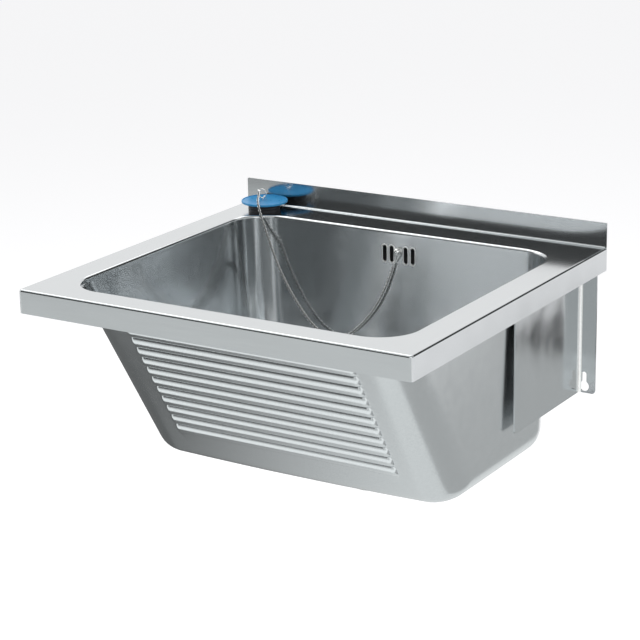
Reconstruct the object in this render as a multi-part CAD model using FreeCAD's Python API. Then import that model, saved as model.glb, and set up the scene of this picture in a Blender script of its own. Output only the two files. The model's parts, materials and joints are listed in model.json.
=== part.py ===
import FreeCAD, Part
import math
import os

from FreeCAD import Vector as V

# Wall-hung stainless steel sink with a washboard front, in millimetres.
# X runs along the wall, Y into the wall and Z up. The origin is midway between
# the two wall screws, on the wall, so the whole sink lies at Y <= 0.

# ---- folded top ----
width = 600.0
depth = 555.0
sheet = 1.2
apron_height = 33.0
apron_lip = 9.0
upstand_height = 36.0
screw_drop = 208.0
edge_bend = 3.0
deck_corner = 5.0
upstand_root = 3.0

# ---- bowl opening and bowl ----
side_strip = 46.0
front_strip = 43.0
rear_strip = 61.0
rim_radius = 4.0
rim_depth = 8.0
bowl_corner = 52.0
bowl_foot = 46.0
bowl_depth = 289.0
bottom_crown = 8.0
front_lean = 31.4
side_draft = 1.2

# ---- washboard pressed into the sloping front ----
rib_count = 11
rib_pitch = 19.8
rib_rise = 4.5
rib_valley = 0.4
board_width = 354.0
board_gap = 52.0
rib_taper = 5.0

# ---- wall brackets ----
bracket_sheet = 2.0
bracket_reach = 206.0
bracket_foot = 10.0
bracket_flange = 27.0
bracket_gap = 6.0
bracket_corner = 5.0
screw_inset = 30.0
keyhole_radius = 7.5
keyhole_slot = 7.0
keyhole_rise = 18.0

# ---- waste ----
waste_back = 150.0
sump_radius = 47.0
sump_depth = 4.0
waste_hole = 29.5
seal_thick = 1.5
flange_radius = 42.0
flange_thick = 1.6
cup_radius = 25.5
cup_foot_radius = 21.0
cup_depth = 9.0
strainer_hole = 3.0
strainer_count = 8
strainer_ring = 14.0
gasket_thick = 2.0
body_flange = 4.0
chamber_radius = 35.0
chamber_depth = 36.0
chamber_wall = 3.0
tail_radius = 23.9
tail_bore = 20.0
tail_length = 24.0
inlet_drop = 24.0
inlet_reach = 50.0
bridge_width = 6.0
bridge_height = 8.0
boss_wall = 3.0
waste_screw_radius = 3.0
screw_slot = 1.2
tip_room = 2.0

# ---- overflow ----
overflow_drop = 34.0
slot_width = 7.0
slot_height = 25.0
slot_pitch = 11.6
stay_rise = 5.5
housing_margin = 9.0
housing_depth = 27.0
housing_wall = 2.5
spigot_length = 20.0
hose_bore = 7.0
hose_radius = 8.5
hose_bend = 30.0
joint_radius = 11.5
joint_seal = 3.0
nut_radius = 16.0
nut_length = 17.0
nut_floor = 2.5
nut_grips = 12
grip_radius = 2.0
nut_gap = 1.3

# ---- stay, plug and chain ----
wire = 0.9
stay_neck = 2.2
stay_reach = 4.4
stay_base = 1.2
stay_cap = 5.5
stay_dome = 3.85
link_width = 13.0
link_length = 20.0
link_corner = 1.9
link_lean = 17.0
plug_inset = 54.5
plug_y = 38.0
plug_radius = 35.0
plug_disc = 3.5
plug_height = 12.0
plug_seat = 25.0
plug_hub = 17.0
plug_rim = 2.0
plug_dish = 0.7
hub_lift = 2.0
eye_radius = 4.0
eye_lift = 1.5
eye_wire = 0.8
ring_radius = 6.9
ring_lean = 50.0
chain_radius = 1.8
clasp_loop = 2.1
clasp_wire = 0.65
clasp_stem = 4.4

# ---- clearances ----
fit = 0.05
play = 0.25
clear = 0.3
past = 1.0
near = 0.01

# Places worked out from the sizes above.
deck_z = screw_drop
low_z = deck_z - apron_height
rim_z = deck_z - rim_depth
half = width / 2
plug_x = half - plug_inset
mouth_x = half - side_strip
mouth_front = front_strip - depth
mouth_rear = -rear_strip
wall_back = mouth_rear + sheet
floor_z = deck_z - bowl_depth - sump_depth
underside_z = floor_z - sheet
inlet_z = underside_z - inlet_drop
inlet_end_y = inlet_reach - waste_back
overflow_z = deck_z - overflow_drop
stay_z = overflow_z + stay_rise
housing_width = 4 * slot_pitch + slot_width + 2 * housing_margin
housing_height = slot_height + 2 * housing_margin
hose_line_y = wall_back + nut_radius + nut_gap
spigot_end_z = overflow_z - housing_height / 2 - spigot_length
lean = math.radians(front_lean)
draft = math.radians(side_draft)


def box(x0, x1, y0, y1, z0, z1):
    return Part.makeBox(x1 - x0, y1 - y0, z1 - z0, V(x0, y0, z0))


def rod(x, y, z0, z1, radius):
    return Part.makeCylinder(radius, z1 - z0, V(x, y, z0))


def rod_y(x, z, y0, y1, radius):
    return Part.makeCylinder(radius, y1 - y0, V(x, y0, z), V(0, 1, 0))


def ring(x, y, z0, z1, outer, inner):
    return rod(x, y, z0, z1, outer).cut(rod(x, y, z0 - past, z1 + past, inner))


def ends(edge):
    return [vertex.Point for vertex in edge.Vertexes]


def is_upright(edge):
    points = ends(edge)
    if len(points) < 2:
        return False
    run = points[1] - points[0]
    return abs(run.x) < near and abs(run.y) < near


def round_upright(shape, radius):
    return shape.makeFillet(radius, [edge for edge in shape.Edges if is_upright(edge)])


def rounded_block(x0, x1, y0, y1, z0, z1, radius):
    return round_upright(box(x0, x1, y0, y1, z0, z1), radius)


def stadium_y(x, z, y0, y1, wide, high):
    """Round-ended bar along Y, upright if it is taller than wide."""
    radius = min(wide, high) / 2
    dx = wide / 2 - radius
    dz = high / 2 - radius
    across = radius if dx == 0 else dx
    up = radius if dz == 0 else dz
    middle = box(x - across, x + across, y0, y1, z - up, z + up)
    caps = [rod_y(x - dx, z - dz, y0, y1, radius), rod_y(x + dx, z + dz, y0, y1, radius)]
    return middle.multiFuse(caps).removeSplitter()


def mirrored(shape):
    return shape.mirror(V(0, 0, 0), V(1, 0, 0))


def placed(shape, place, direction):
    """Shape modelled from the origin along +Z, moved to a place and turned along a direction."""
    turned = shape.copy()
    turned.Placement = FreeCAD.Placement(place, FreeCAD.Rotation(V(0, 0, 1), direction))
    return turned


def save(name, shape):
    solids = shape.Solids
    print(f"{name}: {len(solids)} solid, valid {shape.isValid()}, {shape.Volume / 1000:.2f} cm3")
    shape.exportStep(f"parts/{name}.step")


def loop_round(pins, radius):
    """Closed wire pulled tight round pins of one radius, clockwise seen from the front."""
    outward = []
    for pin, following in zip(pins, pins[1:] + pins[:1]):
        outward.append((following - pin).normalize().cross(V(0, 1, 0)) * radius)
    edges = []
    for index, pin in enumerate(pins):
        before = outward[index - 1]
        after = outward[index]
        middle = (before + after).normalize() * radius
        following = pins[(index + 1) % len(pins)]
        edges.append(Part.Arc(pin + before, pin + middle, pin + after).toShape())
        edges.append(Part.LineSegment(pin + after, following + after).toShape())
    return Part.Wire(edges)


def round_path(points):
    """Straight runs through the points, joined by tangent arcs."""
    edges = []
    start = points[0]
    for before, corner, after in zip(points, points[1:], points[2:]):
        back = (before - corner).normalize()
        ahead = (after - corner).normalize()
        half_turn = (math.pi - back.getAngle(ahead)) / 2
        cut = bend_share * min((before - corner).Length, (after - corner).Length)
        radius = cut / math.tan(half_turn)
        middle = (back + ahead).normalize()
        bulge = corner + middle * (radius / math.cos(half_turn) - radius)
        first = corner + back * cut
        last = corner + ahead * cut
        edges.append(Part.LineSegment(start, first).toShape())
        edges.append(Part.Arc(first, bulge, last).toShape())
        start = last
    edges.append(Part.LineSegment(start, points[-1]).toShape())
    return Part.Wire(edges)


def pipe_along(path, radius):
    first = path.Edges[0]
    direction = first.tangentAt(first.FirstParameter)
    section = Part.Wire(Part.makeCircle(radius, first.valueAt(first.FirstParameter), direction))
    return path.makePipeShell([section], True, True)


# ---- top_deck: deck, aprons and upstand ----


def deck_form(inset):
    """Deck and aprons as a solid block with the bowl's mouth through it."""
    rear = 0 if inset == 0 else past
    top = deck_z - inset
    low = low_z + inset
    block = box(inset - half, half - inset, inset - depth, rear, low, top)
    corners = [e for e in block.Edges if is_upright(e) and ends(e)[0].y < -depth / 2]
    block = block.makeFillet(deck_corner - inset, corners)
    crease = [e for e in block.Edges
              if all(abs(p.z - top) < near for p in ends(e)) and min(p.y for p in ends(e)) < rear - near]
    block = block.makeFillet(edge_bend - inset, crease)
    mouth = rounded_block(-mouth_x - inset, mouth_x + inset, mouth_front - inset,
                          mouth_rear + inset, low - past, top + past, bowl_corner + inset)
    block = block.cut(mouth)
    rim = [e for e in block.Edges
           if all(abs(p.z - top) < near and abs(p.x) < mouth_x + inset + near
                  and mouth_front - inset - near < p.y < mouth_rear + inset + near for p in ends(e))]
    return block.makeFillet(rim_radius - inset, rim)


def make_top_deck():
    deck = deck_form(0).cut(deck_form(sheet))
    slack = sheet + play
    collar_end = rounded_block(-mouth_x - slack, mouth_x + slack, mouth_front - slack,
                               mouth_rear + slack, low_z - past, rim_z, bowl_corner + slack)
    lip_hole = box(apron_lip - half, half - apron_lip, apron_lip - depth, past,
                   low_z - past, low_z + 2 * sheet)
    deck = deck.cut(collar_end).cut(lip_hole)
    upstand = box(-half, half, -sheet, 0, deck_z - sheet, deck_z + upstand_height)
    tips = [e for e in upstand.Edges
            if all(abs(p.z - deck_z - upstand_height) < near for p in ends(e))
            and abs(ends(e)[0].x - ends(e)[1].x) < near]
    upstand = upstand.makeFillet(2 * sheet, tips)
    reach = half - edge_bend
    root = box(-reach, reach, -sheet - upstand_root, -sheet, deck_z, deck_z + upstand_root)
    scoop = Part.makeCylinder(upstand_root, 2 * (reach + past),
                              V(-reach - past, -sheet - upstand_root, deck_z + upstand_root), V(1, 0, 0))
    return deck.multiFuse([upstand, root.cut(scoop)]).removeSplitter()


# ---- bowl: drawn shell with washboard, overflow slots and outlet ----


def frustum(grow, over):
    """Four leaning walls, from above the rim to below the bottom."""
    top = rim_z + over
    low = deck_z - bowl_depth - 4 * bottom_crown

    def corners(z):
        down = rim_z - z
        x = mouth_x - math.tan(draft) * down + grow / math.cos(draft)
        front = mouth_front + math.tan(lean) * down - grow / math.cos(lean)
        rear = mouth_rear + grow
        return [V(-x, front, z), V(x, front, z), V(x, rear, z), V(-x, rear, z)]

    foot, mouth = corners(low), corners(top)
    sides = [foot, mouth]
    for index in range(4):
        following = (index + 1) % 4
        sides.append([foot[index], foot[following], mouth[following], mouth[index]])
    faces = [Part.Face(Part.makePolygon(side + side[:1])) for side in sides]
    return Part.makeSolid(Part.makeShell(faces))


def bowl_form(grow, over):
    """The bowl as a solid: its inside with no growth, its outside grown by the sheet."""
    crown_radius = (mouth_x ** 2 + bottom_crown ** 2) / (2 * bottom_crown)
    axis_z = deck_z - bowl_depth + crown_radius
    trough = Part.makeCylinder(crown_radius + grow, 2 * depth, V(0, -1.5 * depth, axis_z), V(0, 1, 0))
    block = frustum(grow, over).common(trough)
    high = rim_z + over
    corners = []
    for edge in block.Edges:
        heights = [p.z for p in ends(edge)]
        if max(heights) - min(heights) > bowl_depth / 2:
            corners.append(edge)
    block = block.makeFillet(bowl_corner + grow, corners)
    foot = []
    for edge in block.Edges:
        heights = [p.z for p in ends(edge)]
        if max(heights) < deck_z - bowl_depth + 3 * bottom_crown:
            foot.append(edge)
    return block.makeFillet(bowl_foot + grow, foot)


def rib_place(s, off):
    """Point on the sloping front, s down the slope from the rim and off outside its inner face."""
    y = mouth_front + s * math.sin(lean) - off * math.cos(lean)
    z = rim_z - s * math.cos(lean) - off * math.sin(lean)
    return y, z


def rib_spindles(inner):
    """Round bars whose outer part stands out of the sloping wall, one for each rib."""
    below = (rib_pitch ** 2 / 4 + rib_valley ** 2 - rib_rise ** 2) / (2 * (rib_rise - rib_valley))
    radius = below + rib_rise - inner
    reach = board_width / 2 - inner
    end_radius = below + rib_valley - inner
    bars = []
    for index in range(rib_count):
        y, z = rib_place(board_gap + (index + 0.5) * rib_pitch, sheet - below)
        profile = [V(-reach, y, z), V(-reach, y, z + end_radius), V(rib_taper - reach, y, z + radius),
                   V(reach - rib_taper, y, z + radius), V(reach, y, z + end_radius), V(reach, y, z)]
        face = Part.Face(Part.makePolygon(profile + profile[:1]))
        bars.append(face.revolve(V(0, y, z), V(1, 0, 0), 360))
    return bars


def make_bowl():
    sump = rod(0, -waste_back, floor_z, deck_z - bowl_depth + bottom_crown, sump_radius)
    sump_shell = rod(0, -waste_back, underside_z, deck_z - bowl_depth + bottom_crown, sump_radius + sheet)
    shell = bowl_form(sheet, 0).multiFuse([sump_shell] + rib_spindles(0))
    shell = shell.cut(bowl_form(0, past).fuse(sump))
    shell = shell.cut(rib_spindles(sheet))
    outlet = rod(0, -waste_back, underside_z - past, floor_z + past, waste_hole)
    slots = []
    for place in (-2, -1, 1, 2):
        slots.append(stadium_y(place * slot_pitch, overflow_z, mouth_rear - past, wall_back + past,
                               slot_width, slot_height))
    stay_hole = rod_y(0, stay_z, mouth_rear - past, wall_back + past, stay_neck + play)
    return shell.cut([outlet, stay_hole] + slots)


# ---- wall brackets: folded plates with keyholes ----


def make_bracket():
    plate_x = mouth_x + bracket_gap
    low = -bracket_foot
    high = deck_z - sheet
    side = box(plate_x, plate_x + bracket_sheet, -bracket_reach, 0, low, high)
    nose = [e for e in side.Edges
            if all(abs(p.z - low) < near and abs(p.y + bracket_reach) < near for p in ends(e))]
    side = side.makeFillet(bracket_corner, nose)
    flange = box(plate_x, plate_x + bracket_flange, -bracket_sheet, 0, low, high)
    toe = [e for e in flange.Edges
           if all(abs(p.z - low) < near and abs(p.x - plate_x - bracket_flange) < near for p in ends(e))]
    flange = flange.makeFillet(bracket_corner, toe)
    bracket = side.fuse(flange).removeSplitter()
    bend = [e for e in bracket.Edges if is_upright(e)
            and all(abs(p.x - plate_x) < near and abs(p.y) < near for p in ends(e))]
    bracket = bracket.makeFillet(bracket_sheet, bend)
    screw_x = half - screw_inset
    round_hole = rod_y(screw_x, 0, -bracket_sheet - past, past, keyhole_radius)
    slot = stadium_y(screw_x, keyhole_rise / 2, -bracket_sheet - past, past,
                     keyhole_slot, keyhole_rise + keyhole_slot)
    return bracket.cut([round_hole, slot])


# ---- waste: seal, cup with strainer, screw, gasket and body ----


def make_waste_cup():
    low = floor_z + seal_thick
    high = low + flange_thick
    foot = high - cup_depth
    x, y = 0, -waste_back
    flange = rod(x, y, low, high, flange_radius)
    lip = [e for e in flange.Edges if abs(ends(e)[0].z - high) < near and len(ends(e)) == 1]
    flange = flange.makeChamfer(flange_thick / 2, lip)
    shell = Part.makeCone(cup_foot_radius + flange_thick, cup_radius + flange_thick,
                          cup_depth, V(x, y, foot))
    cavity = Part.makeCone(cup_foot_radius, cup_radius, cup_depth, V(x, y, foot + flange_thick))
    low_cut, high_cut = foot - past, foot + flange_thick + past
    holes = [rod(x, y, low_cut, high_cut, waste_screw_radius + fit)]
    for index in range(strainer_count):
        angle = 2 * math.pi * (index + 0.5) / strainer_count
        holes.append(rod(x + strainer_ring * math.cos(angle), y + strainer_ring * math.sin(angle),
                         low_cut, high_cut, strainer_hole))
    return flange.fuse(shell).cut([cavity] + holes).removeSplitter()


def make_waste_body():
    x, y = 0, -waste_back
    high = underside_z - gasket_thick
    chamber_low = high - body_flange - chamber_depth
    tail_low = chamber_low - tail_length
    body = rod(x, y, high - body_flange, high, flange_radius)
    chamber = rod(x, y, chamber_low, high, chamber_radius)
    tail = rod(x, y, tail_low, chamber_low, tail_radius)
    spout = rod_y(x, inlet_z, y, y + inlet_reach, joint_radius)
    cavity = rod(x, y, chamber_low + chamber_wall, high + past, chamber_radius - chamber_wall)
    bore = rod(x, y, tail_low - past, high, tail_bore)
    inlet = rod_y(x, inlet_z, y + tail_bore, y + inlet_reach + past, hose_radius)
    body = body.multiFuse([chamber, tail, spout]).cut([cavity, bore, inlet])
    boss_low = chamber_low + chamber_wall
    cup_low = floor_z + seal_thick + flange_thick - cup_depth
    boss_high = cup_low - clear
    span = chamber_radius - chamber_wall / 2
    bridge = box(x - span, x + span, y - bridge_width / 2, y + bridge_width / 2,
                 boss_low, boss_low + bridge_height)
    boss = rod(x, y, boss_low, boss_high, waste_screw_radius + boss_wall)
    thread = rod(x, y, boss_low - past, boss_high + past, waste_screw_radius + fit)
    return body.multiFuse([bridge, boss]).cut(thread).removeSplitter()


def make_waste_screw():
    x, y = 0, -waste_back
    foot = floor_z + seal_thick + 2 * flange_thick - cup_depth
    head_radius = 2 * waste_screw_radius
    head = rod(x, y, foot, foot + waste_screw_radius, head_radius)
    rim = [e for e in head.Edges if len(ends(e)) == 1 and ends(e)[0].z > foot + near]
    head = head.makeFillet(waste_screw_radius / 3, rim)
    slot = box(x - head_radius, x + head_radius, y - screw_slot / 2, y + screw_slot / 2,
               foot + waste_screw_radius / 2, foot + waste_screw_radius + past)
    chamber_low = underside_z - gasket_thick - body_flange - chamber_depth
    shank = rod(x, y, chamber_low + chamber_wall + tip_room, foot, waste_screw_radius)
    return head.fuse(shank).cut(slot).removeSplitter()


# ---- overflow: gasket, housing, hose and its two screwed joints ----


def make_overflow_gasket():
    outer = stadium_y(0, overflow_z, wall_back, wall_back + gasket_thick, housing_width, housing_height)
    inner = stadium_y(0, overflow_z, wall_back - past, wall_back + gasket_thick + past,
                      housing_width - 4 * housing_wall, housing_height - 4 * housing_wall)
    return outer.cut(inner)


def make_overflow_housing():
    front = wall_back + gasket_thick
    back = front + housing_depth
    shell = stadium_y(0, overflow_z, front, back, housing_width, housing_height)
    cavity = stadium_y(0, overflow_z, front - past, back - housing_wall,
                       housing_width - 2 * housing_wall, housing_height - 2 * housing_wall)
    spigot = rod(0, hose_line_y, spigot_end_z, spigot_end_z + spigot_length + housing_wall, joint_radius)
    boss = rod_y(0, stay_z, wall_back + clear, back - housing_wall / 2, 2 * stay_neck)
    bore = rod(0, hose_line_y, spigot_end_z - past, overflow_z, hose_radius)
    thread = rod_y(0, stay_z, wall_back, back - housing_wall - tip_room / 2, stay_neck + fit)
    housing = shell.cut(cavity).multiFuse([spigot, boss])
    return housing.cut([bore, thread]).removeSplitter()


def make_hose():
    """Overflow hose from the housing's spigot down and forward to the waste body."""
    start = V(0, hose_line_y, spigot_end_z + nut_floor)
    low_end = V(0, inlet_end_y - nut_floor, inlet_z)
    bend_top = V(0, hose_line_y, inlet_z + hose_bend)
    sag = hose_bend * (1 - math.sqrt(0.5))
    bend_mid = V(0, hose_line_y - sag, inlet_z + sag)
    bend_end = V(0, hose_line_y - hose_bend, inlet_z)
    path = Part.Wire([Part.LineSegment(start, bend_top).toShape(),
                      Part.Arc(bend_top, bend_mid, bend_end).toShape(),
                      Part.LineSegment(bend_end, low_end).toShape()])
    tube = pipe_along(path, hose_radius - clear)
    beads = [rod(0, hose_line_y, spigot_end_z - nut_floor, spigot_end_z, joint_radius - play),
             rod_y(0, inlet_z, inlet_end_y, inlet_end_y + nut_floor, joint_radius - play)]
    return tube.multiFuse(beads).cut(pipe_along(path, hose_bore)).removeSplitter()


def joint_washer():
    """Rubber seal below the hose's bead, modelled along +Z from the bead."""
    return ring(0, 0, nut_floor, nut_floor + joint_seal, joint_radius, hose_radius - clear + fit)


def joint_nut():
    """Union nut over a spigot, modelled along +Z with the spigot's end at the origin."""
    seat = nut_floor + joint_seal
    start = seat + nut_floor - nut_length
    nut = rod(0, 0, start, seat + nut_floor, nut_radius)
    nut = nut.cut(rod(0, 0, start - past, seat, joint_radius + play))
    nut = nut.cut(rod(0, 0, start, seat + nut_floor + past, hose_radius + clear))
    across = nut_radius + grip_radius / 2
    grips = []
    for index in range(nut_grips):
        angle = 2 * math.pi * index / nut_grips
        grips.append(rod(across * math.cos(angle), across * math.sin(angle),
                         start - past, seat, grip_radius))
    return nut.cut(grips)


# ---- chain stay on the overflow ----


def make_stay_screw():
    z = stay_z
    wall = mouth_rear
    tip = wall_back + gasket_thick + housing_depth - housing_wall - tip_room
    base = rod_y(0, z, wall - stay_base, wall, stay_cap)
    neck = rod_y(0, z, wall - stay_base - stay_reach, tip, stay_neck)
    ball = (stay_cap ** 2 + stay_dome ** 2) / (2 * stay_dome)
    cap_y = wall - stay_base - stay_reach
    dome = Part.makeSphere(ball, V(0, cap_y - stay_dome + ball, z))
    dome = dome.cut(box(-2 * ball, 2 * ball, cap_y, cap_y + 3 * ball, z - 2 * ball, z + 2 * ball))
    return base.multiFuse([neck, dome]).removeSplitter()


def make_stay_link():
    """Triangular wire link, its top side over the stay's neck and its tip below."""
    y = mouth_rear - stay_base - stay_reach / 2
    top_z = stay_z + stay_neck + fit + wire
    dx = link_width / 2 - wire - link_corner
    pins = [V(-dx, y, top_z - link_corner), V(dx, y, top_z - link_corner),
            V(0, y, top_z - link_length + link_corner)]
    link = pipe_along(loop_round(pins, link_corner), wire)
    link.rotate(V(0, y, stay_z), V(0, 1, 0), link_lean)
    return link


# ---- plug lying on the deck ----
# Outline of the seal's lips: inset from the seat's radius, and height over the deck.
seal_lips = [(2.5, 0), (1.6, 3.4), (3.0, 3.8), (1.0, 4.4), (0.6, 7.8), (2.4, 8.2), (0, 8.9)]


def make_plug_disc():
    low = deck_z + plug_height
    high = low + plug_disc
    disc = rod(-plug_x, -plug_y, low, high, plug_radius)
    rim = [e for e in disc.Edges if len(ends(e)) == 1]
    disc = disc.makeFillet(plug_disc / 3, rim)
    dish = rod(-plug_x, -plug_y, high - plug_dish, high + past, plug_radius - plug_rim)
    hub = rod(-plug_x, -plug_y, deck_z + hub_lift, low, plug_hub)
    sockets = []
    for side in (-1, 1):
        sockets.append(rod(-plug_x, -plug_y + side * eye_radius, low, high + past, eye_wire + fit))
    return disc.fuse(hub).cut([dish] + sockets).removeSplitter()


def make_plug_seal():
    """Rubber ring round the plug's hub, with two sealing lips."""
    outline = [V(plug_seat - inset, 0, height) for inset, height in seal_lips]
    points = [V(0, 0, 0)] + outline + [V(plug_seat, 0, plug_height), V(0, 0, plug_height)]
    face = Part.Face(Part.makePolygon(points + points[:1]))
    seal = face.revolve(V(0, 0, 0), V(0, 0, 1), 360)
    seal = seal.cut(rod(0, 0, hub_lift - fit, plug_height + past, plug_hub + fit))
    return placed(seal, V(-plug_x, -plug_y, deck_z), V(0, 0, 1))


eye_base_z = deck_z + plug_height + plug_disc + eye_lift
eye_top_z = eye_base_z + eye_radius


def make_plug_eye():
    bow = Part.makeTorus(eye_radius, eye_wire, V(-plug_x, -plug_y, eye_base_z), V(1, 0, 0))
    low = deck_z + plug_height
    reach = 2 * plug_radius
    bow = bow.cut(box(-plug_x - reach, -plug_x + reach, -plug_y - reach, -plug_y + reach,
                      deck_z, eye_base_z))
    legs = []
    for side in (-1, 1):
        legs.append(rod(-plug_x, -plug_y + side * eye_radius, low, eye_base_z, eye_wire))
    return bow.multiFuse(legs).removeSplitter()


def ring_way():
    """Direction in which the plug's ring stands from the eye."""
    angle = math.radians(ring_lean)
    return V(-math.sin(angle), 0, math.cos(angle))


def make_plug_ring():
    stand = ring_radius - wire - eye_wire - play
    centre = V(-plug_x, -plug_y, eye_top_z) + ring_way() * stand
    return Part.makeTorus(ring_radius, wire, centre, V(0, 1, 0))


# ---- chain and its two clasps ----
# Its route, from the stay to the plug: X and Y in the sink's frame, Z above the deck.
# At each point its bend takes this share of the shorter run.
bend_share = 0.45
chain_route = [
    (-6.9, -64.7, -51.1), (-12.2, -65.6, -67.6), (-19.8, -66.4, -86.5), (-30.0, -67.2, -107.0),
    (-44.0, -67.8, -128.5), (-62.5, -68.6, -149.0), (-82.0, -69.4, -166.5), (-104.0, -70.0, -175.5),
    (-127.0, -70.6, -170.0), (-150.0, -71.2, -152.0), (-171.0, -72.0, -125.5), (-190.0, -73.2, -94.5),
    (-206.0, -74.6, -61.0), (-217.0, -75.8, -28.0), (-225.0, -77.0, -4.5), (-231.0, -76.2, 12.5),
    (-237.8, -68.2, 21.6), (-244.8, -55.6, 24.3), (-251.4, -43.8, 27.2),
]


def route_points():
    return [V(x, y, z + deck_z) for x, y, z in chain_route]


def make_chain():
    return pipe_along(round_path(route_points()), chain_radius)


def make_clasp(end, inner, across):
    """End piece of the chain: a loop that faces across, on a stem whose face meets the chain's."""
    back = (end - inner).normalize()
    stem = Part.makeCylinder(chain_radius, clasp_stem)
    loop = Part.makeTorus(clasp_loop, clasp_wire, V(0, 0, clasp_stem + clasp_loop), V(1, 0, 0))
    clasp = stem.fuse(loop).removeSplitter()
    clasp.Placement = FreeCAD.Placement(end, FreeCAD.Rotation(across, back.cross(across), back, "ZXY"))
    return clasp


def main():
    os.makedirs("parts", exist_ok=True)
    save("top_deck", make_top_deck())
    save("bowl", make_bowl())
    bracket = make_bracket()
    save("bracket_right", bracket)
    save("bracket_left", mirrored(bracket))
    save("waste_seal", ring(0, -waste_back, floor_z, floor_z + seal_thick,
                            flange_radius - flange_thick, waste_hole))
    save("waste_cup", make_waste_cup())
    save("waste_screw", make_waste_screw())
    save("waste_gasket", ring(0, -waste_back, underside_z - gasket_thick, underside_z,
                              flange_radius, waste_hole))
    save("waste_body", make_waste_body())
    save("overflow_gasket", make_overflow_gasket())
    save("overflow_housing", make_overflow_housing())
    save("overflow_hose", make_hose())
    upper = (V(0, hose_line_y, spigot_end_z), V(0, 0, -1))
    lower = (V(0, inlet_end_y, inlet_z), V(0, 1, 0))
    save("hose_seal_upper", placed(joint_washer(), *upper))
    save("hose_seal_lower", placed(joint_washer(), *lower))
    save("hose_nut_upper", placed(joint_nut(), *upper))
    save("hose_nut_lower", placed(joint_nut(), *lower))
    save("stay_screw", make_stay_screw())
    save("stay_link", make_stay_link())
    save("plug_disc", make_plug_disc())
    save("plug_seal", make_plug_seal())
    save("plug_eye", make_plug_eye())
    save("plug_ring", make_plug_ring())
    points = route_points()
    save("chain", make_chain())
    save("clasp_stay", make_clasp(points[0], points[1], V(1, 0, 0)))
    save("clasp_plug", make_clasp(points[-1], points[-2], ring_way().cross(V(0, 1, 0))))


main()
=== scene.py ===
import json
import math

import bmesh
import bpy
from mathutils import Matrix, Vector
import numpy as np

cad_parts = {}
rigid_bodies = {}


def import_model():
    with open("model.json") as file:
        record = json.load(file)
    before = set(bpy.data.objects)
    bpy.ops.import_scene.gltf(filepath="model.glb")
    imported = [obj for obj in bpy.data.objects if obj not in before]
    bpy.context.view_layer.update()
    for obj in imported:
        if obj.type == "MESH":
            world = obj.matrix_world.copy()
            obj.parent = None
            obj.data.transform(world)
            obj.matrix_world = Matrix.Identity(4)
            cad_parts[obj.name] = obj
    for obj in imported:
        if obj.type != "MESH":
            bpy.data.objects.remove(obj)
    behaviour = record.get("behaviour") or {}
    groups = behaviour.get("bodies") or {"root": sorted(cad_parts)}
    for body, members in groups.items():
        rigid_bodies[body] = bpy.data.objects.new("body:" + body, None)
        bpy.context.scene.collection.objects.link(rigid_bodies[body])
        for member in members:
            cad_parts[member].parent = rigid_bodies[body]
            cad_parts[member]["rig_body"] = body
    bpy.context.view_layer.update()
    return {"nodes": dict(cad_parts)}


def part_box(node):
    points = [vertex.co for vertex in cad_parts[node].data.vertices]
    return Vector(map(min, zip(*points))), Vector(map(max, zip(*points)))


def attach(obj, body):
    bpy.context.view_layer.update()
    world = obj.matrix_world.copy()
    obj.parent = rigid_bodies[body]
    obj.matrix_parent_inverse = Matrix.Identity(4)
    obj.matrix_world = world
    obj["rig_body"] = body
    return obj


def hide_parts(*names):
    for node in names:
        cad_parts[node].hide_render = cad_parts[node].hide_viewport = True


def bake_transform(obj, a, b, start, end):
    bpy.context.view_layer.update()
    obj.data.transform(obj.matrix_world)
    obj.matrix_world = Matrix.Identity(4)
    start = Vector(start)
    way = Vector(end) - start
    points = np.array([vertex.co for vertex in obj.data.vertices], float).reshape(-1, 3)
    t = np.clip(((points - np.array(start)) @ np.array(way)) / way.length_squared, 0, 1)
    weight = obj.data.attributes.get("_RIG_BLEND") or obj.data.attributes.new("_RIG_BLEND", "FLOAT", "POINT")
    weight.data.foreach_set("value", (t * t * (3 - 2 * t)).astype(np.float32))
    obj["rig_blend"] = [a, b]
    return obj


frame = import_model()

# ---- Camera ----
# A long lens, a little above the deck and round to the right of the sink, so that the
# washboard front, the right wall bracket and the rear of the bowl all show.
view_azimuth = math.radians(32.0)
view_elevation = math.radians(17.09)
view_roll = math.radians(-1.07)
view_distance = 2.936
view_aim = Vector((-0.0101, -0.2633, 0.1287))
photo_side = 640
focal_in_pixels = 2126.4
sensor_width = 36.0
farthest_seen = 50


def placed(name, data):
    """Object of a name, made of its data and put in the scene."""
    thing = bpy.data.objects.new(name, data)
    bpy.context.collection.objects.link(thing)
    return thing


lens = bpy.data.cameras.new("camera")
lens.sensor_width = sensor_width
lens.lens = sensor_width * focal_in_pixels / photo_side
lens.clip_end = farthest_seen
camera = placed("camera", lens)
turn = (Matrix.Rotation(view_azimuth, 4, "Z") @ Matrix.Rotation(math.pi / 2 - view_elevation, 4, "X")
        @ Matrix.Rotation(view_roll, 4, "Z"))
camera.matrix_world = Matrix.Translation(view_aim) @ turn @ Matrix.Translation((0, 0, view_distance))
bpy.context.scene.camera = camera


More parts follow.
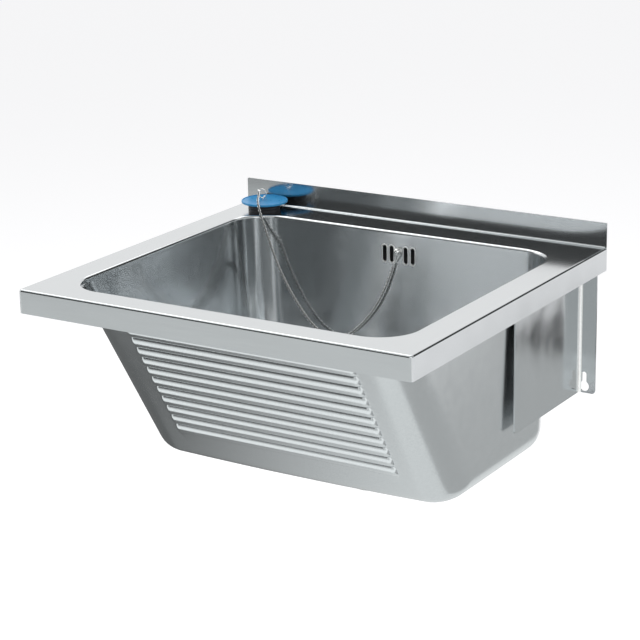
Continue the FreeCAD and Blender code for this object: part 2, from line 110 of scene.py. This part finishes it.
# ---- Plug chain ----
# Nickel-plated steel chain of small oval links, each turned a quarter from the last, every
# second one painted dark as shade and the others near white. It hangs from the link on the overflow stay,
# sags across the bowl's rear wall and climbs over the rim to the plug's ring. Its points are the solid
# chain's.
deck_z = 0.208
chain_route = [
    (-6.9, -64.7, -51.1), (-12.2, -65.6, -67.6), (-19.8, -66.4, -86.5), (-30.0, -67.2, -107.0),
    (-44.0, -67.8, -128.5), (-62.5, -68.6, -149.0), (-82.0, -69.4, -166.5), (-104.0, -70.0, -175.5),
    (-127.0, -70.6, -170.0), (-150.0, -71.2, -152.0), (-171.0, -72.0, -125.5), (-190.0, -73.2, -94.5),
    (-206.0, -74.6, -61.0), (-217.0, -75.8, -28.0), (-225.0, -77.0, -4.5), (-231.0, -76.2, 12.5),
    (-237.8, -68.2, 21.6), (-244.8, -55.6, 24.3), (-251.4, -43.8, 27.2),
]
link_width = 0.0048
link_wire = 0.00075
link_step = 0.003
link_sides = 14
wire_sides = 6
plug_side_x = (-0.12, -0.2514)
noise_span = (0.3, 0.7)
joined_within = 0.000002


def metres(x, y, z_over_deck):
    """Place in metres from one in millimetres, with its height over the deck."""
    return Vector((x / 1000, y / 1000, deck_z + z_over_deck / 1000))


def add_node(tree, kind, inputs=(), **settings):
    """Node in a tree with its settings made, and each input set to a value or linked to an output."""
    node = tree.nodes.new(kind)
    for name, value in settings.items():
        setattr(node, name, value)
    for name, value in dict(inputs).items():
        if isinstance(value, bpy.types.NodeSocket):
            tree.links.new(value, node.inputs[name])
        else:
            node.inputs[name].default_value = value
    return node


def node_material(name, colour, metallic, roughness):
    """New material, its shader tree and its main shader, for more nodes to be added to."""
    material = bpy.data.materials.new(name)
    material.use_nodes = True
    tree = material.node_tree
    shader = tree.nodes["Principled BSDF"]
    shader.inputs["Base Color"].default_value = (*colour, 1)
    shader.inputs["Metallic"].default_value = metallic
    shader.inputs["Roughness"].default_value = roughness
    return material, tree, shader


def fit_span(tree, signal, given, wanted, **settings):
    """Signal that fills one span of values, stretched or shrunk to fill another."""
    spans = {"From Min": given[0], "From Max": given[1], "To Min": wanted[0], "To Max": wanted[1]}
    spread = add_node(tree, "ShaderNodeMapRange", {"Value": signal, **spans}, **settings)
    return spread.outputs["Result"]


def mottle(tree, scale, low=0, high=1, detail=4.0, stretch=(1, 1, 1)):
    """Signal between two values from noise in the piece's own coordinates."""
    place = add_node(tree, "ShaderNodeTexCoord")
    mapping = add_node(tree, "ShaderNodeMapping", {"Vector": place.outputs["Object"], "Scale": stretch})
    noise = add_node(tree, "ShaderNodeTexNoise",
                     {"Vector": mapping.outputs["Vector"], "Scale": scale, "Detail": detail})
    return fit_span(tree, noise.outputs["Fac"], noise_span, (low, high))


def roughen(tree, shader, low, high, scale, stretch=(1, 1, 1)):
    """Let the roughness wander between two values."""
    tree.links.new(mottle(tree, scale, low, high, stretch=stretch), shader.inputs["Roughness"])


def tint(tree, shader, factor, dark, light):
    """Mix the main colour between two shades by a factor."""
    mix = add_node(tree, "ShaderNodeMix", {"Factor": factor, "A": (*dark, 1), "B": (*light, 1)},
                   data_type="RGBA")
    tree.links.new(mix.outputs["Result"], shader.inputs["Base Color"])


def bump(tree, shader, height, depth):
    """Raise the surface by a height signal, up to a depth in metres."""
    node = add_node(tree, "ShaderNodeBump", {"Height": height, "Distance": depth})
    tree.links.new(node.outputs["Normal"], shader.inputs["Normal"])


nickel, tree, shader = node_material("nickel_plate", (0.88, 0.88, 0.87), 1.0, 0.2)
roughen(tree, shader, 0.15, 0.26, 900)
tint(tree, shader, mottle(tree, 350), (0.84, 0.84, 0.83), (0.92, 0.92, 0.91))

link_nickel_and_shade, tree, shader = node_material("link_nickel_and_shade", (0.9, 0.9, 0.89), 1.0, 0.3)
roughen(tree, shader, 0.24, 0.36, 900)
# Links marked "turned" are painted dark as shade and the rest near white as painted light; this is not a
# finish of the nickel.
turned = add_node(tree, "ShaderNodeAttribute", attribute_name="turned")
tint(tree, shader, turned.outputs["Fac"], (1, 1, 0.99), (0.25, 0.25, 0.25))

spline_data = bpy.data.curves.new("chain_route", "CURVE")
spline_data.dimensions = "3D"
spline_data.resolution_u = 24
spline = spline_data.splines.new("NURBS")
spline.points.add(len(chain_route) - 1)
for point, place in zip(spline.points, chain_route):
    point.co = (*metres(*place), 1)
spline.order_u = 3
spline.use_endpoint_u = True
chain_curve = placed("chain_route", spline_data)


def plain_mesh(source, name):
    """New object whose mesh is what another shows with its modifiers."""
    bpy.context.view_layer.update()
    evaluated = source.evaluated_get(bpy.context.evaluated_depsgraph_get())
    mesh = bpy.data.meshes.new_from_object(evaluated)
    mesh.name = name
    return placed(name, mesh)


chain_line = plain_mesh(chain_curve, "chain_line")
bpy.data.objects.remove(chain_line)


def chain_tree():
    """Geometry nodes that lay oval links along a curve, each turned a quarter from the last and
    every second one marked to be painted dark as shade."""
    tree = bpy.data.node_groups.new("oval_link_chain", "GeometryNodeTree")
    sockets = (("Geometry", "Geometry"), ("Step", "Float"), ("Width", "Float"),
               ("Wire radius", "Float"), ("Material", "Material"))
    for name, kind in sockets:
        tree.interface.new_socket(name, in_out="INPUT", socket_type=f"NodeSocket{kind}")
    tree.interface.new_socket("Geometry", in_out="OUTPUT", socket_type="NodeSocketGeometry")
    given = add_node(tree, "NodeGroupInput").outputs

    def worked_out(kind, first, second):
        """What an operation makes of two values."""
        return add_node(tree, "ShaderNodeMath", {0: first, 1: second}, operation=kind).outputs[0]

    half_width = worked_out("SUBTRACT", worked_out("MULTIPLY", given["Width"], 0.5), given["Wire radius"])
    half_length = worked_out("ADD", worked_out("MULTIPLY", given["Step"], 0.5), given["Wire radius"])
    circle = add_node(tree, "GeometryNodeCurvePrimitiveCircle",
                      {"Resolution": link_sides, "Radius": 1.0})
    stretch = add_node(tree, "ShaderNodeCombineXYZ", {"X": half_width, "Y": half_length})
    oval = add_node(tree, "GeometryNodeTransform",
                    {"Geometry": circle.outputs["Curve"], "Scale": stretch.outputs["Vector"]})
    upright = add_node(tree, "GeometryNodeTransform",
                       {"Geometry": oval.outputs["Geometry"], "Rotation": (math.pi / 2, 0, 0)})
    wire = add_node(tree, "GeometryNodeCurvePrimitiveCircle",
                    {"Resolution": wire_sides, "Radius": given["Wire radius"]})
    link = add_node(tree, "GeometryNodeCurveToMesh",
                    {"Curve": upright.outputs["Geometry"], "Profile Curve": wire.outputs["Curve"]})

    spaced = add_node(tree, "GeometryNodeResampleCurve",
                      {"Curve": given["Geometry"], "Length": given["Step"]}, mode="LENGTH")
    tangent = add_node(tree, "GeometryNodeInputTangent")
    aim = add_node(tree, "FunctionNodeAlignRotationToVector",
                   {"Vector": tangent.outputs["Tangent"]}, axis="Z")
    index = add_node(tree, "GeometryNodeInputIndex")
    turn_and_shade_parity = worked_out("MODULO", index.outputs["Index"], 2)
    quarter = add_node(tree, "FunctionNodeAxisAngleToRotation",
                       {"Axis": (0, 0, 1), "Angle": worked_out("MULTIPLY", turn_and_shade_parity, math.pi / 2)})
    twist = add_node(tree, "FunctionNodeRotateRotation",
                     {"Rotation": aim.outputs["Rotation"], "Rotate By": quarter.outputs["Rotation"]},
                     rotation_space="LOCAL")
    laid = add_node(tree, "GeometryNodeInstanceOnPoints",
                    {"Points": spaced.outputs["Curve"], "Instance": link.outputs["Mesh"],
                     "Rotation": twist.outputs["Rotation"]})
    # Every second link is stored as one to be painted dark, as shade.
    marked = add_node(tree, "GeometryNodeStoreNamedAttribute",
                      {"Geometry": laid.outputs["Instances"], "Name": "turned", "Value": turn_and_shade_parity},
                      data_type="FLOAT", domain="INSTANCE")
    real = add_node(tree, "GeometryNodeRealizeInstances", {"Geometry": marked.outputs["Geometry"]})
    plated = add_node(tree, "GeometryNodeSetMaterial",
                      {"Geometry": real.outputs["Geometry"], "Material": given["Material"]})
    add_node(tree, "NodeGroupOutput", {"Geometry": plated.outputs["Geometry"]})
    return tree


linker = chain_curve.modifiers.new("oval_link_chain", "NODES")
linker.node_group = chain_tree()
link_values = {"Step": link_step, "Width": link_width, "Wire radius": link_wire,
               "Material": link_nickel_and_shade}
for item in linker.node_group.interface.items_tree:
    if item.name in link_values:
        linker[item.identifier] = link_values[item.name]
chain = plain_mesh(chain_curve, "chain_links")
chain.data.shade_smooth()
bpy.data.objects.remove(chain_curve)

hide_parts("chain")
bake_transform(chain, "sink", "plug", start=(plug_side_x[0], -0.07, deck_z),
         end=(plug_side_x[1], -0.07, deck_z))


def crisp(mesh, degrees=32):
    """Smooth shading, with edges left sharp where faces turn by more than an angle."""
    mesh.shade_smooth()
    mesh.set_sharp_from_angle(angle=math.radians(degrees))


def joined_copy(node, finish):
    """Copy of a frame node whose triangles are joined and whose round faces are smooth."""
    source = frame["nodes"][node]
    work = bmesh.new()
    work.from_mesh(source.data)
    bmesh.ops.remove_doubles(work, verts=work.verts, dist=joined_within)
    mesh = bpy.data.meshes.new(f"{node}_finish")
    work.to_mesh(mesh)
    work.free()
    for spare in [a.name for a in mesh.attributes if a.name in ("custom_normal", "sharp_edge")]:
        mesh.attributes.remove(mesh.attributes[spare])
    crisp(mesh)
    mesh.materials.append(finish)
    piece = placed(f"{node}_finish", mesh)
    weights = piece.modifiers.new("flat faces lead", "WEIGHTED_NORMAL")
    weights.keep_sharp = True
    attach(piece, source["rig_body"])
    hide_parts(node)
    return piece


clasps = [joined_copy(node, nickel) for node in ("clasp_stay", "clasp_plug")]


# ---- Studio ----
# A pale floor where the room's floor would be, 0.87 m below the deck, a white surround and two
# large soft lamps. Bright, grey and dark cards, which only glossy surfaces show, stand for the
# rest of the room, so that the steel has something to reflect.
rim_height = 0.87
floor_size = 30.0
floor_grey = 0.8
floor_lift = 0.42
surround = (0.62, 0.62, 0.6324)
white = (1, 1, 1)
card_tone = (0.97, 1, 1)
floor_z = deck_z - rim_height


def card(name, corners, material):
    """Flat four-cornered surface of the studio."""
    mesh = bpy.data.meshes.new(name)
    mesh.from_pydata(corners, [], [(0, 1, 2, 3)])
    mesh.materials.append(material)
    sheet_of_card = placed(name, mesh)
    return sheet_of_card


def level(x_span, y_span, z):
    """Corners of a level card over a span each way."""
    (x0, x1), (y0, y1) = x_span, y_span
    return [(x0, y0, z), (x1, y0, z), (x1, y1, z), (x0, y1, z)]


def upright(first, second, z_span):
    """Corners of an upright card over two places on the floor."""
    low, high = z_span
    return [(*first, low), (*second, low), (*second, high), (*first, high)]


def bare_tree(owner):
    """Shader tree of a material or of the world, with nothing in it."""
    owner.use_nodes = True
    owner.node_tree.nodes.clear()
    return owner.node_tree


def seen_directly(tree):
    """Factor that is 1 for what the camera sees, straight or through metal and glass."""
    rays = add_node(tree, "ShaderNodeLightPath").outputs
    seen = rays["Is Camera Ray"]
    for kind in ("Is Glossy Ray", "Is Transmission Ray"):
        larger = add_node(tree, "ShaderNodeMath", {0: seen, 1: rays[kind]}, operation="MAXIMUM")
        seen = larger.outputs[0]
    return seen


floor_paint = bpy.data.materials.new("floor_paint")
tree = bare_tree(floor_paint)
matt = add_node(tree, "ShaderNodeBsdfDiffuse", {"Color": (floor_grey, floor_grey, floor_grey, 1)})
lift = add_node(tree, "ShaderNodeMath", {0: seen_directly(tree), 1: floor_lift}, operation="MULTIPLY")
glow = add_node(tree, "ShaderNodeEmission", {"Color": (*white, 1), "Strength": lift.outputs[0]})
both = add_node(tree, "ShaderNodeAddShader", {0: matt.outputs[0], 1: glow.outputs[0]})
add_node(tree, "ShaderNodeOutputMaterial", {"Surface": both.outputs[0]})
reach = floor_size / 2
card("floor", level((-reach, reach), (-reach, reach), floor_z), floor_paint)


def grey_card(name, corners, left_grey, right_grey=None, fade=(0, 1)):
    """Card that shows only in glossy surfaces, of one grey or fading between two places in X."""
    paint = bpy.data.materials.new(name)
    tree = bare_tree(paint)
    grey = left_grey
    if right_grey is not None:
        place = add_node(tree, "ShaderNodeTexCoord")
        axes = add_node(tree, "ShaderNodeSeparateXYZ", {"Vector": place.outputs["Object"]})
        grey = fit_span(tree, axes.outputs["X"], fade, (left_grey, right_grey),
                        interpolation_type="SMOOTHSTEP")
    shade = add_node(tree, "ShaderNodeEmission", {"Color": (*card_tone, 1), "Strength": grey})
    add_node(tree, "ShaderNodeOutputMaterial", {"Surface": shade.outputs[0]})
    piece = card(name, corners, paint)
    piece.visible_camera = False
    piece.visible_diffuse = False
    piece.visible_shadow = False
    piece.visible_transmission = False


# The cards on the floor meet along two lines in front of the sink and one to its right. The
# rear right card lies on the right one.
card_lift = 0.01
second_lift = 0.005
just_above = floor_z + card_lift
far_y = -1.8
near_y = -0.74
right_x = 0.5
grey_card("far_front_card", level((-5.0, 2.5), (-4.5, far_y), just_above), 0.75)
grey_card("near_front_card", level((-5.0, 2.5), (far_y, near_y), just_above), 1.2)
grey_card("left_card", level((-4.0, right_x), (near_y, 1.0), just_above), 0.16, 0.9, fade=(-0.75, 0.0))
grey_card("right_card", level((right_x, 1.4), (near_y, 2.1), just_above), 0.55)
grey_card("rear_right_card", level((0.9, 1.38), (1.93, 2.5), just_above + second_lift), 0.02)
grey_card("front_left_card", upright((-3.8, -2.3), (-0.9, -4.0), (-0.64, 2.8)), 0.06)
grey_card("front_card", upright((-0.9, -4.1), (3.0, -4.2), (-0.4, 3.2)), 0.55)
grey_card("side_card", upright((3.2, -4.2), (3.2, 2.4), (-0.2, 2.9)), 0.55)
grey_card("dark_card", upright((0.3, 3.4), (3.4, 2.6), (0.35, 3.4)), 0.06)
grey_card("ceiling_card", level((-3.2, 3.0), (-3.2, 1.6), 2.9), 0.8, 0.35, fade=(-0.8, 1.6))

world = bpy.data.worlds.new("surround")
bpy.context.scene.world = world
tree = bare_tree(world)
ambient = add_node(tree, "ShaderNodeBackground", {"Color": (*surround, 1)})
backdrop = add_node(tree, "ShaderNodeBackground", {"Color": (*white, 1)})
choose = add_node(tree, "ShaderNodeMixShader",
                  {"Fac": seen_directly(tree), 1: ambient.outputs[0], 2: backdrop.outputs[0]})
add_node(tree, "ShaderNodeOutputWorld", {"Surface": choose.outputs[0]})


def soft_lamp(name, place, aim, size, power):
    """Oblong lamp at a place, turned to face another."""
    data = bpy.data.lights.new(name, "AREA")
    data.shape = "RECTANGLE"
    data.size, data.size_y = size
    data.energy = power
    lamp = placed(name, data)
    lamp.location = place
    lamp.rotation_euler = (Vector(aim) - Vector(place)).to_track_quat("-Z", "Y").to_euler()


soft_lamp("key_lamp", (-1.2, 0.6, 2.6), (0, -0.25, 0.1), (3.0, 2.4), 34)
soft_lamp("fill_lamp", (1.8, -2.2, 1.2), (0, -0.25, 0.05), (2.0, 2.0), 8)

bpy.context.scene.view_settings.view_transform = "Standard"


# ---- Bowl ----
# Deep-drawn from 1.2 mm stainless sheet, satin outside and polished inside. Eleven round ribs
# for scrubbing are pressed into its sloping front. Its crowned bottom has a flat recess for
# the waste, and four slots in its upright rear wall are the overflow.
bowl_low, bowl_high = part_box("bowl")
sheet = 0.0012
rim_z = bowl_high.z
sump_depth = 0.004
bottom_z = bowl_low.z + sump_depth
corner_radius = 0.0532
foot_radius = 0.0472
front_lean = math.radians(31.4)
side_draft = math.radians(1.2)
crown = 0.008
sump_y = -0.15
sump_radius = 0.0482
sump_margin = 0.006
outlet_radius = 0.0295
rib_count = 11
rib_pitch = 0.0198
rib_rise = 0.0045
rib_valley = 0.0004
rib_taper = 0.007
board_half = 0.177
board_gap = 0.052
down = Vector((0, 0, -1))
front_out = Vector((0, -math.cos(front_lean), -math.sin(front_lean)))
right_out = Vector((math.cos(side_draft), 0, -math.sin(side_draft)))
left_out = Vector((-math.cos(side_draft), 0, -math.sin(side_draft)))
rear_out = Vector((0, 1, 0))

# How finely the sheet is divided: down a rib, round the foot, along a rib's tapered end and its
# middle, along or round each side and corner, and in shares over the plain stretches.
rib_steps = 12
foot_steps = 10
taper_steps = 6
middle_steps = 6
side_steps = 16
above_board = (0, 0.04, 0.2, 0.45, 0.75)
below_board = (0.2, 0.5, 1.0)
beside_board = (0, 0.3, 0.6, 0.85)
over_bottom = (0.12, 0.3, 0.55, 0.8, 1.0)

# The rounded edge of the recess, as how far out from its radius and how far down.
sump_edge = ((0.002, 0.0), (0.0006, 0.0004), (0.0, 0.0014), (-0.0001, 0.0026), (-0.0008, 0.0036),
             (-0.0024, sump_depth), (-0.009, sump_depth))

slope = (rim_z - bottom_z - foot_radius * (1 + front_out.z)) / math.cos(front_lean)
slope_rows = [board_gap / slope * share for share in above_board]
slope_rows += [(board_gap + rib_pitch * step / rib_steps) / slope
               for step in range(rib_count * rib_steps + 1)]
board_end = slope_rows[-1]
slope_rows += [board_end + (1 - board_end) * share for share in below_board]


def swing(first, second, share):
    """Direction a share of the way round from one direction to another."""
    angle = first.angle(second)
    return (first * math.sin((1 - share) * angle) + second * math.sin(share * angle)) / math.sin(angle)


def rib_height(x, below_rim):
    """How far the pressed front stands out, at a place across it and a distance down its slope."""
    along = below_rim - board_gap
    if abs(x) > board_half or not 0 <= along <= rib_count * rib_pitch:
        return 0.0
    below = (rib_pitch ** 2 / 4 + rib_valley ** 2 - rib_rise ** 2) / (2 * (rib_rise - rib_valley))
    inset = min(1.0, (board_half - abs(x)) / rib_taper)
    radius = below + rib_valley + (rib_rise - rib_valley) * math.sqrt(1 - (1 - inset) ** 2)
    offset = (along / rib_pitch % 1.0 - 0.5) * rib_pitch
    return max(0.0, math.sqrt(max(0.0, radius ** 2 - offset ** 2)) - below)


def crown_lift(x):
    """How much higher the bottom is at a place across it than at its middle."""
    return crown * max(0.0, x ** 2 - sump_radius ** 2) / bowl_high.x ** 2


def bowl_strip(stretch, shift, back, out):
    """Points down the bowl's outside, round its foot and over its bottom to the waste hole. The
    strip is at stretch times the corners' half width plus shift, and back is its share of the
    way from the front corners to the rear ones."""

    def wall(z):
        """Point of the strip on the wall at a height."""
        axis_z = z - corner_radius * out.z
        drop = rim_z - axis_z
        x = bowl_high.x - math.tan(side_draft) * drop - corner_radius / math.cos(side_draft)
        front = bowl_low.y + math.tan(front_lean) * drop + corner_radius / math.cos(front_lean)
        rear = bowl_high.y - corner_radius
        return Vector((stretch * x + shift, front + (rear - front) * back, axis_z)) + out * corner_radius

    top, low = wall(rim_z), wall(bottom_z + foot_radius * (1 + out.z))
    strip = []
    for share in slope_rows:
        swell = rib_height(shift, share * (low - top).length) if stretch == back == 0 else 0.0
        strip.append(top.lerp(low, share) + out * swell)
    ball = low - out * foot_radius
    for step in range(1, foot_steps + 1):
        share = step / foot_steps
        point = ball + swing(out, down, share) * foot_radius
        point.z += crown_lift(point.x) * (3 - 2 * share) * share ** 2
        strip.append(point)
    foot = strip[-1].copy()
    middle = Vector((0, sump_y, bottom_z))
    edge = Vector((foot.x, foot.y - sump_y, 0)).normalized()
    for share in over_bottom:
        point = foot.lerp(middle + edge * (sump_radius + sump_margin), share)
        point.z = bottom_z + crown_lift(point.x)
        strip.append(point)
    for beyond, depth in sump_edge:
        strip.append(middle + edge * (sump_radius + beyond) + down * depth)
    strip.append(middle + edge * outlet_radius + down * sump_depth)
    return strip


taper = [board_half - rib_taper * (1 - math.cos(math.pi / 2 * step / taper_steps))
         for step in range(taper_steps + 1)]
board_places = taper + [taper[-1] * (1 - step / middle_steps) for step in range(1, middle_steps)]
strips = [bowl_strip(share - 1, -board_half * share, 0, front_out) for share in beside_board]
strips += [bowl_strip(0, -x, 0, front_out) for x in board_places]
strips += [bowl_strip(0, x, 0, front_out) for x in [0.0] + board_places[::-1]]
strips += [bowl_strip(1 - share, board_half * share, 0, front_out) for share in beside_board[:0:-1]]
shares = [step / side_steps for step in range(side_steps)]
strips += [bowl_strip(1, 0, 0, swing(front_out, right_out, share)) for share in shares]
strips += [bowl_strip(1, 0, share, right_out) for share in shares]
strips += [bowl_strip(1, 0, 1, swing(right_out, rear_out, share)) for share in shares]
strips += [bowl_strip(1 - 2 * share, 0, 1, rear_out) for share in shares]
strips += [bowl_strip(-1, 0, 1, swing(rear_out, left_out, share)) for share in shares]
strips += [bowl_strip(-1, 0, 1 - share, left_out) for share in shares]
strips += [bowl_strip(-1, 0, 0, swing(left_out, front_out, share)) for share in shares]

bowl_mesh = bpy.data.meshes.new("bowl_sheet")
row_count = len(strips[0])
faces = []
for first in range(len(strips)):
    second = (first + 1) % len(strips)
    for row in range(row_count - 1):
        faces.append((first * row_count + row, first * row_count + row + 1,
                      second * row_count + row + 1, second * row_count + row))
bowl_mesh.from_pydata([point for strip in strips for point in strip], [], faces)

grain = 500
brushed_down = (1, 1, 0.04)
satin_steel, tree, shader = node_material("satin_steel", (0.62, 0.64, 0.65), 1.0, 0.2)
roughen(tree, shader, 0.18, 0.22, 60)
tint(tree, shader, mottle(tree, grain), (0.6, 0.62, 0.63), (0.65, 0.67, 0.68))
drawn_steel, tree, shader = node_material("drawn_steel", (0.62, 0.64, 0.65), 1.0, 0.15)
roughen(tree, shader, 0.13, 0.17, 25, stretch=(1, 1, 0.25))
tint(tree, shader, mottle(tree, grain, stretch=brushed_down), (0.61, 0.63, 0.64), (0.64, 0.66, 0.67))
bump(tree, shader, mottle(tree, 14, detail=2), 0.0003)
for finish in (satin_steel, drawn_steel):
    bowl_mesh.materials.append(finish)

# The sheet gets its thickness inwards, and its inner side the second finish.
bowl_sheet = placed("bowl_sheet", bowl_mesh)
thick = bowl_sheet.modifiers.new("sheet", "SOLIDIFY")
thick.thickness = sheet
thick.offset = -1
thick.material_offset = 1

slot_places = (-2, -1, 1, 2)
slot_pitch = 0.0116
slot_width = 0.007
slot_height = 0.025
overflow_drop = 0.034
stay_rise = 0.0055
stay_hole = 0.00245
half_round = 12
cutter_overlap = 0.005
overflow_z = deck_z - overflow_drop
stay_z = overflow_z + stay_rise
wall_front = bowl_high.y - sheet
cutter_ends = (wall_front - cutter_overlap, bowl_high.y + cutter_overlap)


def slot_outline(x, z, width, height):
    """Points round an upright slot with round ends, seen from the front."""
    radius = width / 2
    outline = []
    for end in (1, -1):
        for step in range(half_round + 1):
            angle = math.pi * step / half_round + (0 if end == 1 else math.pi)
            outline.append((x + radius * math.cos(angle),
                            z + end * (height / 2 - radius) + radius * math.sin(angle)))
    return outline


def bars_mesh(name, bars):
    """Mesh of closed bars, each given as its two end outlines, with its faces outwards."""
    work = bmesh.new()
    for ends in bars:
        near, far = [[work.verts.new(place) for place in end] for end in ends]
        for k in range(len(near)):
            after = (k + 1) % len(near)
            work.faces.new((near[k], near[after], far[after], far[k]))
        for end in (near, far):
            work.faces.new(end)
    bmesh.ops.recalc_face_normals(work, faces=work.faces)
    mesh = bpy.data.meshes.new(name)
    work.to_mesh(mesh)
    work.free()
    return mesh


holes = [slot_outline(place * slot_pitch, overflow_z, slot_width, slot_height) for place in slot_places]
stay_angles = [math.pi * step / half_round for step in range(2 * half_round)]
holes.append([(stay_hole * math.cos(angle), stay_z + stay_hole * math.sin(angle))
              for angle in stay_angles])
cutters = [[[(x, y, z) for x, z in hole] for y in cutter_ends] for hole in holes]
cutter = placed("slot_cutters", bars_mesh("slot_cutters", cutters))
pierce = bowl_sheet.modifiers.new("pierce", "BOOLEAN")
pierce.object = cutter
pierce.solver = "EXACT"

bowl = plain_mesh(bowl_sheet, "bowl_shell")
for scrap in (bowl_sheet, cutter):
    bpy.data.objects.remove(scrap)
crisp(bowl.data)

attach(bowl, "sink")
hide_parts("bowl")


# ---- Overflow slot rims ----
# The edge of each overflow slot is rolled a little proud of the rear wall. The roll is left satin
# and painted much lighter than the bowl's steel, a painted highlight, so that it shows as a bright rounded
# rim round the slot.
rim_wire = 0.0011
rim_proud = 0.0002
rim_roundness = 3


def wire_loop(name, points, radius):
    """Object that is a round wire through points in a closed loop."""
    data = bpy.data.curves.new(f"{name}_wire", "CURVE")
    data.dimensions = "3D"
    data.bevel_depth = radius
    data.bevel_resolution = rim_roundness
    line = data.splines.new("POLY")
    line.points.add(len(points) - 1)
    for point, place in zip(line.points, points):
        point.co = (*place, 1)
    line.use_cyclic_u = True
    rough = placed(f"{name}_wire", data)
    result = plain_mesh(rough, name)
    bpy.data.objects.remove(rough)
    result.data.shade_smooth()
    return result


# Much lighter than the bowl's own steel: a painted highlight on the rolled edge.
rolled_edge_highlight, tree, shader = node_material("rolled_edge_highlight", (0.94, 0.94, 0.93), 1.0, 0.4)
roughen(tree, shader, 0.36, 0.46, 300)
tint(tree, shader, mottle(tree, 200), (0.92, 0.92, 0.91), (0.97, 0.97, 0.96))
for number, place in enumerate(slot_places, 1):
    outline = slot_outline(place * slot_pitch, overflow_z, slot_width + rim_wire, slot_height + rim_wire)
    rim = wire_loop(f"slot_rim_{number}", [(x, wall_front + rim_proud, z) for x, z in outline], rim_wire)
    rim.data.materials.append(rolled_edge_highlight)
    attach(rim, "sink")


# ---- Deck, aprons and splash-back ----
# One folded and welded sheet: a flat deck with a rolled collar down into the bowl, an apron
# on three sides with a small return below, and a low splash-back against the wall. Its fine
# brushing runs along the wall.
brushed_along = (0.04, 1, 1)
deck_steel, tree, shader = node_material("deck_steel", (0.65, 0.67, 0.68), 1.0, 0.14)
roughen(tree, shader, 0.12, 0.16, 25, stretch=(0.25, 1, 1))
tint(tree, shader, mottle(tree, grain, stretch=brushed_along), (0.64, 0.66, 0.67), (0.66, 0.68, 0.69))
joined_copy("top_deck", deck_steel)


# ---- Wall brackets ----
# Folded 2 mm steel plates welded under the deck at each side. A short flange turns out
# against the wall and has a keyhole that hooks over a screw. The hollow of the fold is round
# and painted in the lighter nickel colour, a painted highlight along the fold.
plate = 0.002
bend_radius = 0.0038
bend_steps = 8
bracket_steel, tree, shader = node_material("bracket_steel", (0.6, 0.62, 0.63), 1.0, 0.12)
roughen(tree, shader, 0.1, 0.14, 25, stretch=(1, 1, 0.3))
tint(tree, shader, mottle(tree, grain, stretch=brushed_down), (0.59, 0.61, 0.62), (0.61, 0.63, 0.64))
bump(tree, shader, mottle(tree, 9, detail=2), 0.0004)

# The corner of the fold and the hollow arc across it, as shares of the bend's radius.
bend_angles = [math.pi / 2 * step / bend_steps for step in range(bend_steps + 1)]
hollow = [(0.0, 0.0)] + [(1 - math.cos(angle), math.sin(angle) - 1) for angle in bend_angles]
for side, out in (("left", -1), ("right", 1)):
    joined_copy(f"bracket_{side}", bracket_steel)
    low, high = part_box(f"bracket_{side}")
    inner_x = out * (min(abs(low.x), abs(high.x)) + plate)
    ends = [[(inner_x + out * bend_radius * x, bend_radius * y - plate, z) for x, y in hollow]
            for z in (low.z, high.z)]
    mesh = bars_mesh(f"bend_{side}", [ends])
    # The hollow takes the lighter nickel colour, not the plate's steel: a painted highlight.
    mesh.materials.append(nickel)
    crisp(mesh, degrees=50)
    bend = placed(f"bend_{side}", mesh)
    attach(bend, "sink")


# ---- Overflow fittings ----
# Behind the rear wall a moulded housing, with a rubber gasket, takes the water to a smooth
# hose. Two ribbed union nuts, each with a ring seal, hold the hose to the housing and waste.
white_plastic, tree, shader = node_material("white_plastic", (0.86, 0.86, 0.84), 0.0, 0.42)
roughen(tree, shader, 0.36, 0.5, 300)
tint(tree, shader, mottle(tree, 25), (0.82, 0.82, 0.79), (0.88, 0.88, 0.86))
grey_plastic, tree, shader = node_material("grey_plastic", (0.1, 0.1, 0.105), 0.0, 0.5)
roughen(tree, shader, 0.42, 0.58, 300)
tint(tree, shader, mottle(tree, 40), (0.09, 0.09, 0.095), (0.11, 0.11, 0.115))
black_rubber, tree, shader = node_material("black_rubber", (0.03, 0.03, 0.033), 0.0, 0.6)
roughen(tree, shader, 0.5, 0.72, 500)
tint(tree, shader, mottle(tree, 60), (0.022, 0.022, 0.025), (0.045, 0.045, 0.05))
joined_copy("overflow_gasket", black_rubber)
joined_copy("overflow_housing", grey_plastic)
joined_copy("overflow_hose", grey_plastic)
for place in ("upper", "lower"):
    joined_copy(f"hose_nut_{place}", white_plastic)
    joined_copy(f"hose_seal_{place}", black_rubber)


# ---- Waste ----
# A pressed steel cup with strainer holes is drawn down on its seal by one screw, which pulls
# a moulded trap body and its gasket up against the recess from below.
fitting_steel, tree, shader = node_material("fitting_steel", (0.66, 0.67, 0.68), 1.0, 0.16)
roughen(tree, shader, 0.1, 0.24, 120)
tint(tree, shader, mottle(tree, 90), (0.62, 0.63, 0.64), (0.7, 0.71, 0.72))
joined_copy("waste_seal", black_rubber)
joined_copy("waste_cup", fitting_steel)
joined_copy("waste_screw", fitting_steel)
joined_copy("waste_gasket", black_rubber)
joined_copy("waste_body", white_plastic)


# ---- Chain stay ----
# A domed screw between the overflow slots goes through into the housing. A three-cornered
# wire link hangs from its neck, and the chain's end piece from the link.
for node in ("stay_screw", "stay_link"):
    joined_copy(node, nickel)


# ---- Plug ----
# A blue moulded disc with a raised rim over a black rubber seal that steps down to the size
# of the waste. A wire eye stands in the disc and carries a wire ring, where the chain hooks.
blue_plastic, tree, shader = node_material("blue_plastic", (0.028, 0.3, 0.62), 0.0, 0.3)
roughen(tree, shader, 0.26, 0.38, 200)
tint(tree, shader, mottle(tree, 70), (0.024, 0.28, 0.59), (0.034, 0.32, 0.65))
joined_copy("plug_disc", blue_plastic)
joined_copy("plug_seal", black_rubber)
joined_copy("plug_eye", nickel)
joined_copy("plug_ring", nickel)
